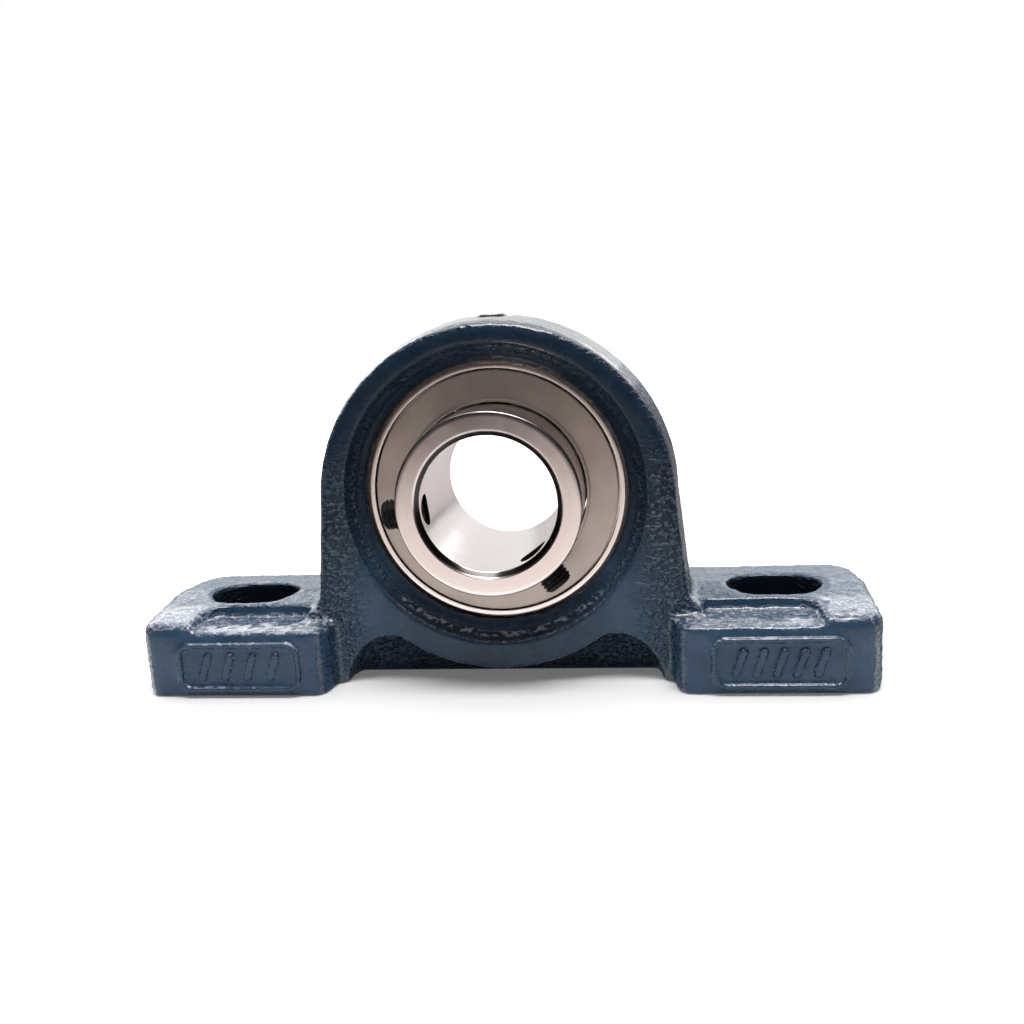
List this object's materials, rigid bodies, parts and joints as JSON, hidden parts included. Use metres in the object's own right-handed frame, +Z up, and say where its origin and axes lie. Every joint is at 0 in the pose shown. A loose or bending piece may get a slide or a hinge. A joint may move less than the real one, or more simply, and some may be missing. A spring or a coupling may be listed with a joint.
{
  "type": "pillow block ball bearing",
  "caption": "Self-aligning ball bearing insert with set screws in a cast two-bolt pillow block housing, for carrying a shaft parallel to its mounting surface.",
  "frame": {"origin": "on the base plane, midway between the bolt slots and under the middle of the bearing seat", "axes": "+X along the feet from slot to slot, +Y along the shaft away from the set-screw side, +Z up from the base to the crown of the arch"},
  "size_m": [0.14, 0.0388, 0.0697],
  "materials": {
    "cast_paint": "glossy dark blue enamel over a coarse sand-cast skin",
    "bearing_steel": "bright ground bearing steel",
    "ball_steel": "mirror polished",
    "slinger_steel": "satin pressed steel with a warm tint",
    "cage_steel": "dull pressed steel",
    "nitrile_rubber": "matte black",
    "black_oxide": "black oxide with a little oil",
    "zinc_plate": "dull zinc plate"
  },
  "bodies": {
    "base": {"housing": "cast_paint", "grease_plug": "zinc_plate"},
    "locating_pin": {"anti_rotation_pin": "bearing_steel"},
    "insert": {"outer_ring": "bearing_steel", "seal_front": "nitrile_rubber", "seal_back": "nitrile_rubber"},
    "rotor": {"inner_ring": "bearing_steel", "slinger_front": "slinger_steel", "slinger_back": "slinger_steel"},
    "grub_screw_1": {"set_screw_1": "black_oxide"},
    "grub_screw_2": {"set_screw_2": "black_oxide"},
    "cage": {"cage_front": "cage_steel", "cage_back": "cage_steel", "cage_rivet_1": "cage_steel", "cage_rivet_2": "cage_steel", "cage_rivet_3": "cage_steel", "cage_rivet_4": "cage_steel", "cage_rivet_5": "cage_steel", "cage_rivet_6": "cage_steel", "cage_rivet_7": "cage_steel", "cage_rivet_8": "cage_steel", "cage_rivet_9": "cage_steel"},
    "rolling_ball_1": {"ball_1": "ball_steel"},
    "rolling_ball_2": {"ball_2": "ball_steel"},
    "rolling_ball_3": {"ball_3": "ball_steel"},
    "rolling_ball_4": {"ball_4": "ball_steel"},
    "rolling_ball_5": {"ball_5": "ball_steel"},
    "rolling_ball_6": {"ball_6": "ball_steel"},
    "rolling_ball_7": {"ball_7": "ball_steel"},
    "rolling_ball_8": {"ball_8": "ball_steel"},
    "rolling_ball_9": {"ball_9": "ball_steel"}
  },
  "joints": [
    {"name": "align_pitch", "type": "hinge", "parent": "base", "child": "locating_pin", "pos_m": [0, 0, 0.0365], "axis": [1, 0, 0], "range_deg": [-3, 3]},
    {"name": "align_yaw", "type": "hinge", "parent": "locating_pin", "child": "insert", "pos_m": [0, 0, 0.0365], "axis": [0, 0, 1], "range_deg": [-3, 3]},
    {"name": "shaft_spin", "type": "hinge", "parent": "insert", "child": "rotor", "pos_m": [0, 0, 0.0365], "axis": [0, 1, 0], "continuous": true},
    {"name": "set_screw_1_slide", "type": "slide", "parent": "rotor", "child": "grub_screw_1", "axis": [-0.9934, 0, -0.1149], "range_m": [-0.0017, 0.0014]},
    {"name": "set_screw_2_slide", "type": "slide", "parent": "rotor", "child": "grub_screw_2", "axis": [0.5962, 0, -0.8028], "range_m": [-0.0017, 0.0014]},
    {"name": "cage_spin", "type": "hinge", "parent": "insert", "child": "cage", "pos_m": [0, 0, 0.0365], "axis": [0, 1, 0], "continuous": true},
    {"name": "ball_1_spin", "type": "hinge", "parent": "cage", "child": "rolling_ball_1", "pos_m": [0, 0, 0.05575], "axis": [0, 1, 0], "continuous": true},
    {"name": "ball_2_spin", "type": "hinge", "parent": "cage", "child": "rolling_ball_2", "pos_m": [-0.01237, 0, 0.05125], "axis": [0, 1, 0], "continuous": true},
    {"name": "ball_3_spin", "type": "hinge", "parent": "cage", "child": "rolling_ball_3", "pos_m": [-0.01896, 0, 0.03984], "axis": [0, 1, 0], "continuous": true},
    {"name": "ball_4_spin", "type": "hinge", "parent": "cage", "child": "rolling_ball_4", "pos_m": [-0.01667, 0, 0.02687], "axis": [0, 1, 0], "continuous": true},
    {"name": "ball_5_spin", "type": "hinge", "parent": "cage", "child": "rolling_ball_5", "pos_m": [-0.00658, 0, 0.01841], "axis": [0, 1, 0], "continuous": true},
    {"name": "ball_6_spin", "type": "hinge", "parent": "cage", "child": "rolling_ball_6", "pos_m": [0.00658, 0, 0.01841], "axis": [0, 1, 0], "continuous": true},
    {"name": "ball_7_spin", "type": "hinge", "parent": "cage", "child": "rolling_ball_7", "pos_m": [0.01667, 0, 0.02687], "axis": [0, 1, 0], "continuous": true},
    {"name": "ball_8_spin", "type": "hinge", "parent": "cage", "child": "rolling_ball_8", "pos_m": [0.01896, 0, 0.03984], "axis": [0, 1, 0], "continuous": true},
    {"name": "ball_9_spin", "type": "hinge", "parent": "cage", "child": "rolling_ball_9", "pos_m": [0.01237, 0, 0.05125], "axis": [0, 1, 0], "continuous": true}
  ],
  "couplings": [
    {"joint": "cage_spin", "follows": "shaft_spin", "ratio": 0.3969},
    {"joint": "ball_1_spin", "follows": "shaft_spin", "ratio": -2.322},
    {"joint": "ball_2_spin", "follows": "shaft_spin", "ratio": -2.322},
    {"joint": "ball_3_spin", "follows": "shaft_spin", "ratio": -2.322},
    {"joint": "ball_4_spin", "follows": "shaft_spin", "ratio": -2.322},
    {"joint": "ball_5_spin", "follows": "shaft_spin", "ratio": -2.322},
    {"joint": "ball_6_spin", "follows": "shaft_spin", "ratio": -2.322},
    {"joint": "ball_7_spin", "follows": "shaft_spin", "ratio": -2.322},
    {"joint": "ball_8_spin", "follows": "shaft_spin", "ratio": -2.322},
    {"joint": "ball_9_spin", "follows": "shaft_spin", "ratio": -2.322}
  ]
}
